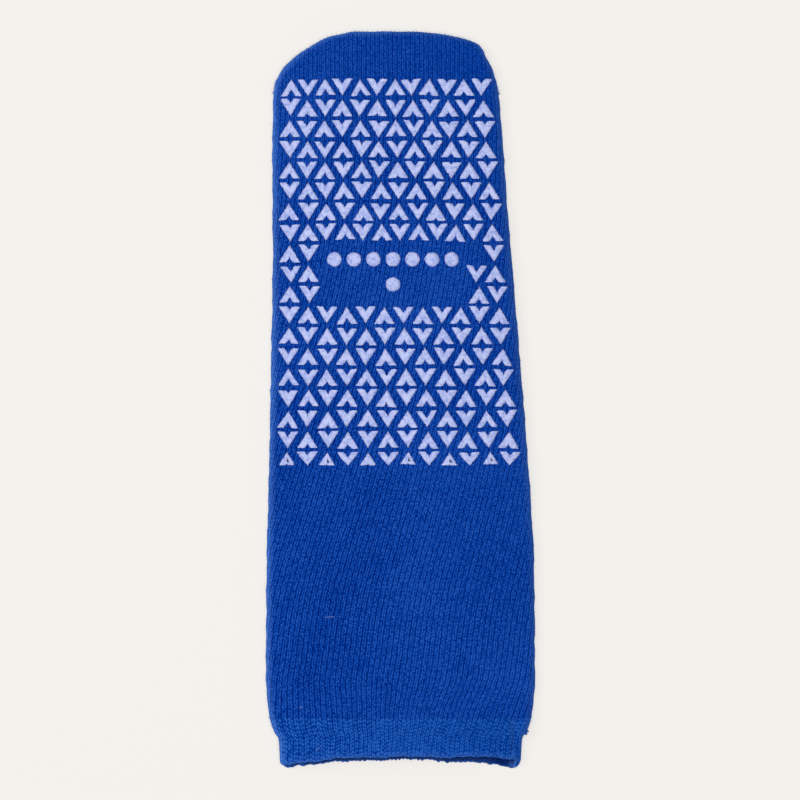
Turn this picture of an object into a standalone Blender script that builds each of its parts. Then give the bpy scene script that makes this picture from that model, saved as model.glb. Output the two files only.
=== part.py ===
"""A tube-knit slipper sock, lying empty on its sole as on a floor.

The foot, toe pocket and leg are knitted whole as one hollow wall, the cuff is a turned welt of its own, and
a linking seam closes the toe on the underside. Rubber grip marks stand up from the wall on both faces.
Metres, +Z up, +Y from the cuff to the toe, origin under the middle of the sock on the floor.
"""

import math
from collections import namedtuple

import bmesh
import bpy
from mathutils import Vector

# lengths along the sock
sock_length = 0.3165
toe_depth = 0.0268
cuff_depth = 0.0211

# flat widths, and how far the ball's middle lies to the left of the leg's middle
leg_width = 0.1161
ball_width = 0.0971
cuff_width = 0.1038
ball_sway = 0.0062

# heights of the slack foot, and the walls
instep_height = 0.0145
edge_radius = 0.0036
wall = 0.0024
cuff_wall = 0.0029
toe_spring = 0.0020
toe_spring_length = 0.028
crown_power = 2.4

# the mouth: its middle lies nearer the toe than its corners, and the upper layer ends short of the lower,
# by more towards the right
rim_arch = 0.0029
rim_setback = 0.0024
rim_skew = 0.0012
rim_roll = 0.0010

# grip marks, in straight rows of arrowheads that point to the toe and to the cuff by turns
grip_height = 0.0008
grip_root = 0.0012
grip_width = 0.0096
grip_length = 0.0076
grip_pitch_along = 0.0089
grip_pitch_across = 0.0072
grip_start = 0.0205
grip_end = 0.1866
grip_margin = 0.0036
grip_settle = 0.0080
shortest_grip = 0.0012

# a plain window among the marks, with a row of round dots and one dot below it
window_width = 0.0620
window_start = 0.0905
window_end = 0.1180
window_offset = -0.0032
dot_count = 7
dot_radius = 0.0032
dot_pitch = 0.0084
dot_row = 0.0982
single_dot_row = 0.1090
dot_sides = 10

# linking seam under the toe: how far inside the outline it runs, and how far back its ends come
seam_radius = 0.0005
seam_inset = 0.0042
seam_end_inset = 0.0012
seam_reach = 0.0175
seam_points = 34
seam_bunching = 2.4

# clearance between pieces that meet
meeting_gap = 0.0003

# how finely the forms are divided
arc_steps = 6
crown_steps = 14
base_steps = 6
tube_rings = 18

# half thickness left at the blunt ends of the toe, as a share of the edge's radius
tip_blunt = 0.30

# Widths and sway are read from these rows. In the toe they follow the share of toe_depth behind the tip,
# in the tube the share of the way from the toe line to the cuff line, in the cuff the share of cuff_depth.
ToeRow = namedtuple("ToeRow", "back width sway height")
toe_rows = [
    ToeRow(back=0.000, width=0.313, sway=1.05, height=0.50),
    ToeRow(back=0.024, width=0.411, sway=0.74, height=0.50),
    ToeRow(back=0.090, width=0.590, sway=0.46, height=0.51),
    ToeRow(back=0.185, width=0.717, sway=0.32, height=0.53),
    ToeRow(back=0.280, width=0.786, sway=0.46, height=0.56),
    ToeRow(back=0.410, width=0.853, sway=0.71, height=0.60),
    ToeRow(back=0.540, width=0.907, sway=0.85, height=0.64),
    ToeRow(back=0.670, width=0.948, sway=0.95, height=0.68),
    ToeRow(back=0.830, width=0.985, sway=1.01, height=0.73),
    ToeRow(back=1.000, width=1.000, sway=1.00, height=0.78),
]
TubeRow = namedtuple("TubeRow", "back to_ball to_cuff sway height")
tube_rows = [
    TubeRow(back=0.000, to_ball=1.000, to_cuff=0.000, sway=1.00, height=0.78),
    TubeRow(back=0.072, to_ball=0.885, to_cuff=0.000, sway=0.90, height=0.86),
    TubeRow(back=0.169, to_ball=0.793, to_cuff=0.000, sway=0.75, height=0.94),
    TubeRow(back=0.281, to_ball=0.667, to_cuff=0.000, sway=0.54, height=1.00),
    TubeRow(back=0.426, to_ball=0.460, to_cuff=0.000, sway=0.34, height=0.98),
    TubeRow(back=0.586, to_ball=0.241, to_cuff=0.000, sway=0.13, height=0.92),
    TubeRow(back=0.747, to_ball=0.045, to_cuff=0.000, sway=0.01, height=0.89),
    TubeRow(back=0.860, to_ball=0.010, to_cuff=0.000, sway=0.00, height=0.90),
    TubeRow(back=0.940, to_ball=0.000, to_cuff=0.000, sway=0.00, height=0.90),
    TubeRow(back=0.973, to_ball=0.000, to_cuff=0.106, sway=0.00, height=0.88),
    TubeRow(back=1.000, to_ball=0.000, to_cuff=0.250, sway=0.00, height=0.87),
]
CuffRow = namedtuple("CuffRow", "back to_cuff height")
cuff_rows = [
    CuffRow(back=0.00, to_cuff=0.25, height=0.87),
    CuffRow(back=0.16, to_cuff=0.41, height=0.86),
    CuffRow(back=0.33, to_cuff=0.64, height=0.84),
    CuffRow(back=0.43, to_cuff=0.87, height=0.84),
    CuffRow(back=0.53, to_cuff=0.93, height=0.86),
    CuffRow(back=1.00, to_cuff=1.00, height=0.91),
]

tip_y = sock_length / 2
cuff_line = sock_length - cuff_depth
tube_length = cuff_line - toe_depth


def read_row(rows, column, share):
    """Value of one column at a share of the way, eased between the rows with no overshoot."""
    places = [row.back for row in rows]
    values = [getattr(row, column) for row in rows]
    slopes = [(values[i + 1] - values[i]) / (places[i + 1] - places[i]) for i in range(len(rows) - 1)]
    tangents = [slopes[0]]
    for before, after in zip(slopes, slopes[1:]):
        same_way = before * after > 0
        tangents.append(2 * before * after / (before + after) if same_way else 0.0)
    tangents.append(slopes[-1])
    share = min(max(share, places[0]), places[-1])
    i = max(k for k in range(len(rows) - 1) if places[k] <= share)
    step = places[i + 1] - places[i]
    t = (share - places[i]) / step
    rise = 3 * t**2 - 2 * t**3
    lead_in = (t**3 - 2 * t**2 + t) * step * tangents[i]
    lead_out = (t**3 - t**2) * step * tangents[i + 1]
    return values[i] * (1 - rise) + values[i + 1] * rise + lead_in + lead_out


def plan(back):
    """Middle line and half width of the sock's outline at a distance behind the toe tip."""
    if back <= toe_depth:
        share = back / toe_depth
        width = ball_width * read_row(toe_rows, "width", share)
        return -ball_sway * read_row(toe_rows, "sway", share), width / 2
    if back <= cuff_line:
        share = (back - toe_depth) / tube_length
        width = leg_width + read_row(tube_rows, "to_ball", share) * (ball_width - leg_width)
        width += read_row(tube_rows, "to_cuff", share) * (cuff_width - leg_width)
        return -ball_sway * read_row(tube_rows, "sway", share), width / 2
    share = (back - cuff_line) / cuff_depth
    return 0.0, (leg_width + read_row(cuff_rows, "to_cuff", share) * (cuff_width - leg_width)) / 2


def height_at(back):
    """Height of the knit over its lowest line, in the middle of the sock."""
    if back <= toe_depth:
        share = read_row(toe_rows, "height", back / toe_depth)
    elif back <= cuff_line:
        share = read_row(tube_rows, "height", (back - toe_depth) / tube_length)
    else:
        share = read_row(cuff_rows, "height", (back - cuff_line) / cuff_depth)
    return max(instep_height * share, 2 * edge_radius)


def ease(t):
    """0 to 1 with level ends."""
    t = min(max(t, 0.0), 1.0)
    return t * t * (3 - 2 * t)


def floor_lift(back):
    """How far the knit is off the floor: on its grip marks under the foot, and sprung up at the toe."""
    on_grips = grip_height * (1 - ease((back - grip_end) / grip_settle))
    spring = toe_spring * max(0.0, 1 - back / toe_spring_length) ** 2
    return on_grips + spring


def edge_share(room, radius):
    """Height of a rounded edge as a share of its radius, at a distance in from its outermost line."""
    depth = min(max(room / radius, 0.0), 1.0)
    return math.sqrt(1 - (1 - depth) ** 2)


def crown(x, back):
    """Extra height of the slack top layer over the rolled edges."""
    middle, half = plan(back)
    across = min(abs(x - middle) / half, 1.0)
    return (height_at(back) - 2 * edge_radius) * (1 - across**crown_power)


def tip_share(back, inset):
    """The whole section thins to a blunt end at the toe tip."""
    radius = edge_radius - inset
    blunt_room = radius * (1 - math.sqrt(1 - tip_blunt**2))
    return edge_share(back - inset + blunt_room, radius)


def rim_shift(across, layer, back):
    """How far the cuff is drawn towards the toe at the mouth.

    across runs from -1 at the left edge to 1 at the right, layer from 0 on the lower one to 1 on the upper.
    """
    near_rim = ease((back - cuff_line) / cuff_depth)
    return near_rim * (rim_arch * (1 - across**2) + (rim_setback + rim_skew * across) * layer)


def ring(back, inset):
    """Points round one section of the wall, inset from its outer face, the lower layer first."""
    middle, half = plan(back)
    radius = edge_radius - inset
    rise = radius * tip_share(back, inset)
    axis_z = floor_lift(back) + edge_radius
    flat_half = half - edge_radius
    points = []

    def add(x, height):
        """Point at a height from -1 on the lower layer's face to 1 on the upper's."""
        across = min(max((x - middle) / flat_half, -1.0), 1.0)
        slack = crown(x, back) if height > 0 else 0.0
        y = tip_y - back + rim_shift(across, (1 + height) / 2, back)
        points.append(Vector((x, y, axis_z + rise * height + slack)))

    for i in range(base_steps):
        add(middle - flat_half + 2 * flat_half * i / base_steps, -1.0)
    for i in range(arc_steps):
        angle = -math.pi / 2 + math.pi * i / arc_steps
        add(middle + flat_half + radius * math.cos(angle), math.sin(angle))
    for i in range(crown_steps):
        add(middle + flat_half - 2 * flat_half * i / crown_steps, 1.0)
    for i in range(arc_steps):
        angle = math.pi / 2 + math.pi * i / arc_steps
        add(middle - flat_half + radius * math.cos(angle), math.sin(angle))
    return points


def loft(name, rings, closed_round):
    """Mesh through rings of equal counts: a tube with capped ends, or closed round on itself."""
    bm = bmesh.new()
    rows = [[bm.verts.new(p) for p in points] for points in rings]
    count = len(rows[0])
    pairs = list(zip(rows, rows[1:]))
    if closed_round:
        pairs.append((rows[-1], rows[0]))
    for first, second in pairs:
        for i in range(count):
            j = (i + 1) % count
            bm.faces.new((first[i], first[j], second[j], second[i]))
    if not closed_round:
        bm.faces.new(rows[0])
        bm.faces.new(rows[-1])
    bmesh.ops.recalc_face_normals(bm, faces=bm.faces)
    mesh = bpy.data.meshes.new(name)
    bm.to_mesh(mesh)
    bm.free()
    return bpy.data.objects.new(name, mesh)


def spaced(first, last, count):
    """Evenly spaced values with both ends."""
    return [first + (last - first) * i / (count - 1) for i in range(count)]


def toe_stations(inset):
    """Distances behind the tip, close together where the outline turns."""
    shares = [0.0, 0.02, 0.05, 0.09, 0.14, 0.20, 0.28, 0.38, 0.50, 0.64, 0.80]
    return [inset + share * (toe_depth - inset) for share in shares]


def tube_stations():
    """Distances behind the tip from the toe line to the cuff line, with a ring where the leg is widest."""
    widest = toe_depth + 0.94 * tube_length
    even = spaced(toe_depth, widest, tube_rings)
    return even + [toe_depth + 0.975 * tube_length, cuff_line]


def make_tube():
    """Foot, toe pocket and leg: one hollow wall, closed at the toe and open at the cuff line."""
    outside = toe_stations(0.0) + tube_stations()
    inside = toe_stations(wall)[::2] + tube_stations()[::2]
    if inside[-1] < cuff_line:
        inside.append(cuff_line)
    rings = [ring(back, 0.0) for back in outside]
    rings += [ring(back, wall) for back in reversed(inside)]
    return loft("sock_tube", rings, closed_round=False)


def make_cuff():
    """Turned welt at the mouth, thicker than the leg's knit and drawn in by its elastic."""
    start = cuff_line + meeting_gap
    backs = spaced(start, sock_length - rim_roll, 6)
    rings = [ring(back, 0.0) for back in backs]
    rings.append(ring(sock_length, rim_roll))
    rings.append(ring(sock_length, cuff_wall - rim_roll))
    rings += [ring(back, cuff_wall) for back in reversed(backs)]
    return loft("cuff_welt", rings, closed_round=True)


def skin(x, back, upper):
    """Height over the floor of the wall's outer face, on the upper or the lower layer."""
    middle, half = plan(back)
    rise = edge_radius * edge_share(half - abs(x - middle), edge_radius) * tip_share(back, 0.0)
    axis_z = floor_lift(back) + edge_radius
    return axis_z + rise + crown(x, back) if upper else axis_z - rise


def below_skin(x, back, clearance):
    """Point that lies the clearance under the lower layer's face, square to it."""
    step = 0.0001
    slope_x = (skin(x + step, back, False) - skin(x - step, back, False)) / (2 * step)
    slope_back = (skin(x, back + step, False) - skin(x, back - step, False)) / (2 * step)
    away = Vector((slope_x, -slope_back, -1.0)).normalized()
    return Vector((x, tip_y - back, skin(x, back, False))) + away * clearance


def make_seam():
    """Linking seam: a thin ridge under the toe, a little inside its outline, that runs out at the corners."""
    edge = []
    for turn in spaced(-1.0, 1.0, seam_points):
        back = seam_reach * abs(turn) ** seam_bunching
        middle, half = plan(back)
        edge.append(Vector((middle + math.copysign(half, turn), tip_y - back, 0.0)))
    points = []
    for i, turn in enumerate(spaced(-1.0, 1.0, seam_points)):
        along = (edge[min(i + 1, seam_points - 1)] - edge[max(i - 1, 0)]).normalized()
        inward = Vector((along.y, -along.x, 0.0))
        inset = seam_inset + (seam_end_inset - seam_inset) * ease((abs(turn) - 0.7) / 0.3)
        place = edge[i] + inward * inset
        points.append(below_skin(place.x, tip_y - place.y, seam_radius + meeting_gap))
    curve = bpy.data.curves.new("toe_seam", "CURVE")
    curve.dimensions = "3D"
    curve.bevel_depth = seam_radius
    curve.bevel_resolution = 2
    curve.use_fill_caps = True
    spline = curve.splines.new("POLY")
    spline.points.add(len(points) - 1)
    for target, point in zip(spline.points, points):
        target.co = (*point, 1.0)
    return bpy.data.objects.new("toe_seam", curve)


def grip_span(back):
    """Left end and width of the printed field at a distance behind the tip."""
    middle, half = plan(back)
    return middle - half + grip_margin, 2 * (half - grip_margin)


def in_window(x, back):
    """True for a mark that would reach into the print's plain window."""
    beside = abs(x - window_offset) < (window_width + grip_width) / 2
    return beside and window_start - grip_length / 2 < back < window_end + grip_length / 2


def grip_outlines():
    """Each mark's corners as (x, distance behind the tip), for the face that looks up."""
    rows = math.ceil((grip_end - grip_start) / grip_pitch_along)
    narrowest = min(grip_span(grip_start + row * grip_pitch_along)[1] for row in range(rows))
    columns = int(narrowest / grip_pitch_across)
    marks = []
    for row in range(rows):
        centre_back = grip_start + grip_length / 2 + row * grip_pitch_along
        left, span = grip_span(centre_back)
        for column in range(columns):
            x = left + span * (column + 0.5) / columns
            if in_window(x, centre_back):
                continue
            way = 1 if (row + column) % 2 == 0 else -1
            apex = centre_back - way * grip_length / 2
            base = centre_back + way * grip_length / 2
            corners = [(x, apex), (x - grip_width / 2, base), (x + grip_width / 2, base)]
            corners = cut_at(corners, grip_end)
            if corners:
                marks.append(corners)
    return marks


def cut_at(corners, limit):
    """The part of a convex outline that lies before the print's end, or nothing for a sliver."""
    kept = []
    for i, (x, back) in enumerate(corners):
        next_x, next_back = corners[(i + 1) % len(corners)]
        if back <= limit:
            kept.append((x, back))
        if (back - limit) * (next_back - limit) < 0:
            t = (limit - back) / (next_back - back)
            kept.append((x + t * (next_x - x), limit))
    long_enough = kept and limit - min(back for _, back in kept) > shortest_grip
    return kept if len(kept) > 2 and long_enough else []


def dot_outlines():
    """Round dots in the window: one row, and one below its middle."""
    places = [(window_offset + (i - (dot_count - 1) / 2) * dot_pitch, dot_row) for i in range(dot_count)]
    places.append((window_offset, single_dot_row))
    turns = [2 * math.pi * i / dot_sides for i in range(dot_sides)]
    rim = [(dot_radius * math.cos(turn), dot_radius * math.sin(turn)) for turn in turns]
    return [[(x + dx, back + dy) for dx, dy in rim] for x, back in places]


def add_pad(bm, lower, upper):
    """Closed pad between two matching outlines."""
    low = [bm.verts.new(p) for p in lower]
    high = [bm.verts.new(p) for p in upper]
    bm.faces.new(low)
    bm.faces.new(high)
    for i in range(len(low)):
        j = (i + 1) % len(low)
        bm.faces.new((low[i], low[j], high[j], high[i]))


def make_grips():
    """All marks as pads rooted in the wall: on top they follow it, underneath they end on the floor."""
    bm = bmesh.new()
    for outline in grip_outlines() + dot_outlines():
        rooted = [Vector((x, tip_y - back, skin(x, back, True) - grip_root)) for x, back in outline]
        proud = [p + Vector((0, 0, grip_root + grip_height)) for p in rooted]
        add_pad(bm, rooted, proud)
        mirrored = [Vector((2 * plan(back)[0] - x, tip_y - back, 0.0)) for x, back in outline]
        in_wall = [p + Vector((0, 0, grip_height + grip_root)) for p in mirrored]
        add_pad(bm, mirrored, in_wall)
    bmesh.ops.recalc_face_normals(bm, faces=bm.faces)
    mesh = bpy.data.meshes.new("grip_pads")
    bm.to_mesh(mesh)
    bm.free()
    return bpy.data.objects.new("grip_pads", mesh)


def finish(name, colour, roughness):
    """Principled material of one sub-part."""
    material = bpy.data.materials.new(name)
    material.use_nodes = True
    shader = material.node_tree.nodes["Principled BSDF"]
    shader.inputs["Base Color"].default_value = (*colour, 1.0)
    shader.inputs["Roughness"].default_value = roughness
    shader.inputs["Metallic"].default_value = 0.0
    return material


def main():
    for old in list(bpy.data.objects):
        bpy.data.objects.remove(old)
    sock = bpy.data.collections.new("slipper_sock")
    cutters = bpy.data.collections.new("joined_shapes")
    bpy.context.scene.collection.children.link(sock)
    bpy.context.scene.collection.children.link(cutters)

    tube = make_tube()
    tube.data.materials.append(finish("royal blue terry knit", (0.004, 0.045, 0.31), 0.95))
    grips = make_grips()
    grips.display_type = "WIRE"
    grips.hide_render = True
    cutters.objects.link(grips)
    fuse = tube.modifiers.new("grip marks", "BOOLEAN")
    fuse.operation = "UNION"
    fuse.solver = "EXACT"
    fuse.object = grips

    cuff = make_cuff()
    cuff.data.materials.append(finish("royal blue welt knit", (0.007, 0.06, 0.35), 0.92))
    seam = make_seam()
    seam.data.materials.append(finish("blue linking thread", (0.003, 0.03, 0.24), 0.85))
    for piece in (tube, cuff, seam):
        sock.objects.link(piece)
    for piece in (tube, cuff):
        piece.data.shade_smooth()
        piece.data.set_sharp_from_angle(angle=math.radians(35))


main()
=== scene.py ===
import math

import bmesh
import bpy
import numpy as np
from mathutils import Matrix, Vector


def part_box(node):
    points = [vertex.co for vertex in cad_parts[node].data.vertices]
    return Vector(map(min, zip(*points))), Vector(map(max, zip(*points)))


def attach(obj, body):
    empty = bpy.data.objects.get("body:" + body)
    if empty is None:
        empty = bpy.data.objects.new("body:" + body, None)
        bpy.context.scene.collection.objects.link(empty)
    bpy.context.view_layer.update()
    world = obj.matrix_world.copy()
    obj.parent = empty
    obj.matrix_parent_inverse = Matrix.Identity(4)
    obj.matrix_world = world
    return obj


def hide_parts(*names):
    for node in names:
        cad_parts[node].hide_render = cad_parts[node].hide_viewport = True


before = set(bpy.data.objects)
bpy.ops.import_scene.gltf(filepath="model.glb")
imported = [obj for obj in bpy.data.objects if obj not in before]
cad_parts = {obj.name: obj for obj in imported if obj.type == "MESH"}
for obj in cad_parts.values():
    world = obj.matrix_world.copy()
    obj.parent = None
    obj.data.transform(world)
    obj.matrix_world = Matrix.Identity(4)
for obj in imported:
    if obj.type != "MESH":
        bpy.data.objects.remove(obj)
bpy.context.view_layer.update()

# A knitted slipper sock lying flat on its grip print. Metres, +Y from the cuff to the toe, +Z up.

tubeLow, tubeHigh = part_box("sock_tube")
cuffLow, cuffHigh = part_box("cuff_welt")

sockForm = {
    "toeDepth": 0.0268,        # the rounded toe, behind the tip
    "ballWidth": 0.0971,
    "legWidth": tubeHigh.x - tubeLow.x,
    "cuffWidth": 0.1038,
    "ballSway": 0.0062,        # how far the ball lies to the left of the leg
    "instepHeight": 0.0145,
    "edgeRadius": 0.0036,      # the rolled side folds
    "wall": 0.0024,
    "cuffWall": 0.0029,
    "toeSpring": 0.0020,
    "toeSpringLength": 0.028,
    "crownPower": 2.4,
    "rimArch": 0.0029,         # the mouth's middle lies nearer the toe than its corners
    "rimSetback": 0.0024,      # and its upper layer ends short of the lower
    "rimSkew": 0.0012,
    "printEnd": 0.1866,
    "printSettle": 0.0080,
    "printHeight": 0.0008,
}
tipY = tubeHigh.y
sockLength = tipY - cuffLow.y
cuffLine = tipY - tubeLow.y
tubeLength = cuffLine - sockForm["toeDepth"]
cuffDepth = sockLength - cuffLine

# shares of the toe's depth behind the tip, and there of ball width, ball sway and instep height
toeTable = {
    "back": [0.0, 0.024, 0.09, 0.185, 0.28, 0.41, 0.54, 0.67, 0.83, 1.0],
    "width": [0.313, 0.411, 0.59, 0.717, 0.786, 0.853, 0.907, 0.948, 0.985, 1.0],
    "sway": [1.05, 0.74, 0.46, 0.32, 0.46, 0.71, 0.85, 0.95, 1.01, 1.0],
    "height": [0.5, 0.5, 0.51, 0.53, 0.56, 0.6, 0.64, 0.68, 0.73, 0.78],
}
# shares of the way from the toe line to the cuff line, and there of the step from the leg's width to the
# ball's and to the cuff's, of ball sway and of instep height
tubeTable = {
    "back": [0.0, 0.072, 0.169, 0.281, 0.426, 0.586, 0.747, 0.86, 0.94, 0.973, 1.0],
    "toBall": [1.0, 0.885, 0.793, 0.667, 0.46, 0.241, 0.045, 0.01, 0.0, 0.0, 0.0],
    "toCuff": [0.0, 0.0, 0.0, 0.0, 0.0, 0.0, 0.0, 0.0, 0.0, 0.106, 0.25],
    "sway": [1.0, 0.9, 0.75, 0.54, 0.34, 0.13, 0.01, 0.0, 0.0, 0.0, 0.0],
    "height": [0.78, 0.86, 0.94, 1.0, 0.98, 0.92, 0.89, 0.9, 0.9, 0.88, 0.87],
}
# shares of the cuff's depth, and there of the same step to the cuff's width and of instep height
cuffTable = {
    "back": [0.0, 0.16, 0.33, 0.43, 0.53, 1.0],
    "toCuff": [0.25, 0.41, 0.64, 0.87, 0.93, 1.0],
    "height": [0.87, 0.86, 0.84, 0.84, 0.86, 0.91],
}

knitForm = {
    "wales": 106,              # lengthwise columns of stitches, the same number all the way
    "columnsPerWale": 6,
    "liningEvery": 3,          # the inner skin keeps one column in three
    "course": 0.00138,         # height of one row of stitches on the leg
    "cuffCourse": 0.00198,     # before the mouth's upper layer is drawn back
    "ribDepth": 0.00010,
    "ribPower": 1.2,
    "rowDip": 0.28,            # how much of a cuff rib's height is lost between its courses
    "endStrip": 0.00001,       # a narrow last ring, so that the cut end does not bend the shading
    "tubeRows": 78,
    "neckRows": 16,            # closer rows where the leg is drawn in to the cuff
    "neckLength": 0.020,
    "toeHalfRows": 30,
    "liningRows": 40,
    "liningToeRows": 10,
}
# how far the wales lean to the right, in degrees, at distances behind the toe tip
leanTable = {
    "back": [
        0.0268, 0.045, 0.080, 0.120, 0.160, 0.195, 0.220, 0.235, 0.250, 0.262, 0.281, 0.290, 0.296, 0.3165,
    ],
    "lean": [0.0, 4.0, 11.0, 14.0, 15.5, 16.0, 16.5, 14.5, 9.5, 6.5, 10.0, 10.0, 5.0, 2.0],
}
# where the elastic draws the leg in, wales roll over the side folds towards the middle of each face
gatherForm = {"start": 0.276, "end": 0.2958, "reach": 0.0030}


def easedColumn(table, column, share):
    # monotone cubic through one column of a table: a tangent is the harmonic mean of the slopes beside it
    places, values = np.array(table["back"]), np.array(table[column])
    slopes = np.diff(values) / np.diff(places)
    tangents = np.concatenate([slopes[:1], np.zeros(len(slopes) - 1), slopes[-1:]])
    same = slopes[:-1] * slopes[1:] > 0
    pair = np.where(same, slopes[:-1] + slopes[1:], 1.0)
    tangents[1:-1] = np.where(same, 2 * slopes[:-1] * slopes[1:] / pair, 0.0)
    share = np.clip(share, places[0], places[-1])
    i = np.clip(np.searchsorted(places, share, side="right") - 1, 0, len(places) - 2)
    step = places[i + 1] - places[i]
    t = (share - places[i]) / step
    rise = 3 * t**2 - 2 * t**3
    bend = (t**3 - 2 * t**2 + t) * tangents[i] + (t**3 - t**2) * tangents[i + 1]
    return values[i] * (1 - rise) + values[i + 1] * rise + bend * step


def ease(t):
    # 0 to 1 with level ends
    t = np.clip(t, 0.0, 1.0)
    return t * t * (3 - 2 * t)


def zoneShares(back):
    # shares of the way through the toe, the tube and the cuff
    toe = back / sockForm["toeDepth"]
    tube = (back - sockForm["toeDepth"]) / tubeLength
    cuff = (back - cuffLine) / cuffDepth
    return toe, tube, cuff


def outlineAt(back):
    # middle line and half width of the flat sock at a distance behind the toe tip
    toe, tube, cuff = zoneShares(back)
    leg, ball, drawn = sockForm["legWidth"], sockForm["ballWidth"], sockForm["cuffWidth"]
    toeWidth = ball * easedColumn(toeTable, "width", toe)
    tubeWidth = leg + easedColumn(tubeTable, "toBall", tube) * (ball - leg)
    tubeWidth = tubeWidth + easedColumn(tubeTable, "toCuff", tube) * (drawn - leg)
    cuffWidth = leg + easedColumn(cuffTable, "toCuff", cuff) * (drawn - leg)
    width = np.where(toe <= 1, toeWidth, np.where(tube <= 1, tubeWidth, cuffWidth))
    sway = np.where(toe <= 1, easedColumn(toeTable, "sway", toe), easedColumn(tubeTable, "sway", tube))
    return -sockForm["ballSway"] * sway, width / 2


def heightAt(back):
    # height of the slack sock over its lowest line, in the middle
    toe, tube, cuff = zoneShares(back)
    onToe = easedColumn(toeTable, "height", toe)
    onTube = easedColumn(tubeTable, "height", tube)
    onCuff = easedColumn(cuffTable, "height", cuff)
    share = np.where(toe <= 1, onToe, np.where(tube <= 1, onTube, onCuff))
    return np.maximum(sockForm["instepHeight"] * share, 2 * sockForm["edgeRadius"])


def floorLift(back):
    # the foot lies on its grip print, the leg on the floor, and the toe springs up a little
    settled = ease((back - sockForm["printEnd"]) / sockForm["printSettle"])
    spring = sockForm["toeSpring"] * np.maximum(0.0, 1 - back / sockForm["toeSpringLength"]) ** 2
    return sockForm["printHeight"] * (1 - settled) + spring


toeBacks = np.linspace(0.0, sockForm["toeDepth"], 400)
toeMiddles, toeHalves = outlineAt(toeBacks)


def outlineBack(x):
    # distance behind the tip at which the rounded toe's outline passes x
    onRight = np.interp(x, toeMiddles + toeHalves, toeBacks)
    onLeft = np.interp(-x, toeHalves - toeMiddles, toeBacks)
    return np.maximum(onRight, onLeft)


def roomInside(x, back):
    # distance in from the outline, square to it: across and along reaches joined as for a straight edge
    middle, half = outlineAt(back)
    across = np.maximum(half - np.abs(x - middle), 0.0)
    along = np.maximum(back - outlineBack(x), 0.0)
    return across * along / np.maximum(np.hypot(across, along), 1e-9)


def edgeShare(room, radius):
    # quarter circle: 0 on the outline, 1 from one radius in
    return np.sqrt(1 - (1 - np.clip(room / radius, 0.0, 1.0)) ** 2)


# soft folds of the slack upper layer: place in shares of half width and distance behind the tip,
# the fold's half length and half width, its turn from the sock's length in degrees, and its depth
upperFolds = {
    "across": [-0.62, 0.10, 0.62, -0.55, 0.35, -0.10, 0.55, 0.05],
    "back": [0.2150, 0.2330, 0.2700, 0.2640, 0.2050, 0.1500, 0.1150, 0.0480],
    "long": [0.030, 0.045, 0.030, 0.026, 0.034, 0.060, 0.040, 0.030],
    "wide": [0.009, 0.008, 0.009, 0.008, 0.010, 0.012, 0.010, 0.012],
    "turn": [70.0, 84.0, 62.0, -75.0, 80.0, 12.0, 30.0, 85.0],
    "depth": [0.00050, 0.00045, -0.00060, -0.00050, 0.00035, -0.00040, 0.00030, -0.00030],
}
foldForm = {
    "shoulder": 0.35,          # depth of the shallow shoulders beside a fold, as a share of the fold's
    "shoulderPower": 0.25,
    "edgeFade": 0.012,         # folds die out this near the side folds
}


def foldHeight(x, back):
    # sum of long soft ridges and troughs: along each fold a bell, across it a bell with shallow shoulders
    shoulder = foldForm["shoulder"]
    middle, half = outlineAt(back)
    total = np.zeros(np.broadcast(x, back).shape)
    for across, place, long, wide, turn, depth in zip(*upperFolds.values()):
        foldMiddle, foldHalf = outlineAt(np.array(place))
        dx = x - (foldMiddle + across * foldHalf)
        dy = back - place
        angle = math.radians(turn)
        alongFold = dy * math.cos(angle) + dx * math.sin(angle)
        offFold = dx * math.cos(angle) - dy * math.sin(angle)
        bell = np.exp(-((offFold / wide) ** 2))
        section = bell * (1 + shoulder) - shoulder * bell ** foldForm["shoulderPower"]
        total = total + depth * np.exp(-((alongFold / long) ** 2)) * section
    return total * ease((half - np.abs(x - middle)) / foldForm["edgeFade"])


def skinHeight(x, back, side, inset=0.0):
    # height over the floor of the upper (side 1) or lower (side -1) layer: the rolled edge's quarter circle
    # above or below its middle, and on the upper layer the slack and its folds
    middle, half = outlineAt(back)
    radius = sockForm["edgeRadius"] - inset
    rise = radius * edgeShare(roomInside(x, back) - inset, radius)
    across = np.minimum(np.abs(x - middle) / half, 1.0)
    slack = (heightAt(back) - 2 * sockForm["edgeRadius"]) * (1 - across ** sockForm["crownPower"])
    slack = slack + foldHeight(x, back)
    return floorLift(back) + sockForm["edgeRadius"] + side * rise + np.where(side > 0, slack, 0.0)


def roundSection(turn, back, inset=0.0):
    # x and layer of a place round the section, two flat runs joined by two half circles:
    # turn 0 is the left fold, 0.25 the upper middle, 0.5 the right fold, 0.75 the lower middle
    middle, half = outlineAt(back)
    radius = sockForm["edgeRadius"] - inset
    flat = half - sockForm["edgeRadius"]
    bend = math.pi * radius / 2
    layerRun = 2 * bend + 2 * flat
    turn = turn % 1.0
    upper = turn < 0.5
    run = (turn * 2 % 1.0) * layerRun
    leftBend = -flat - radius * np.cos(np.minimum(run, bend) / radius)
    rightBend = flat + radius * np.cos(np.minimum(layerRun - run, bend) / radius)
    x = np.where(run < bend, leftBend, np.where(run > layerRun - bend, rightBend, run - bend - flat))
    return middle + np.where(upper, x, -x), np.where(upper, 1.0, -1.0)


def girthAt(back):
    # length round the section: its flat runs and a circle
    return 4 * (outlineAt(back)[1] - sockForm["edgeRadius"]) + 2 * math.pi * sockForm["edgeRadius"]


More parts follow.
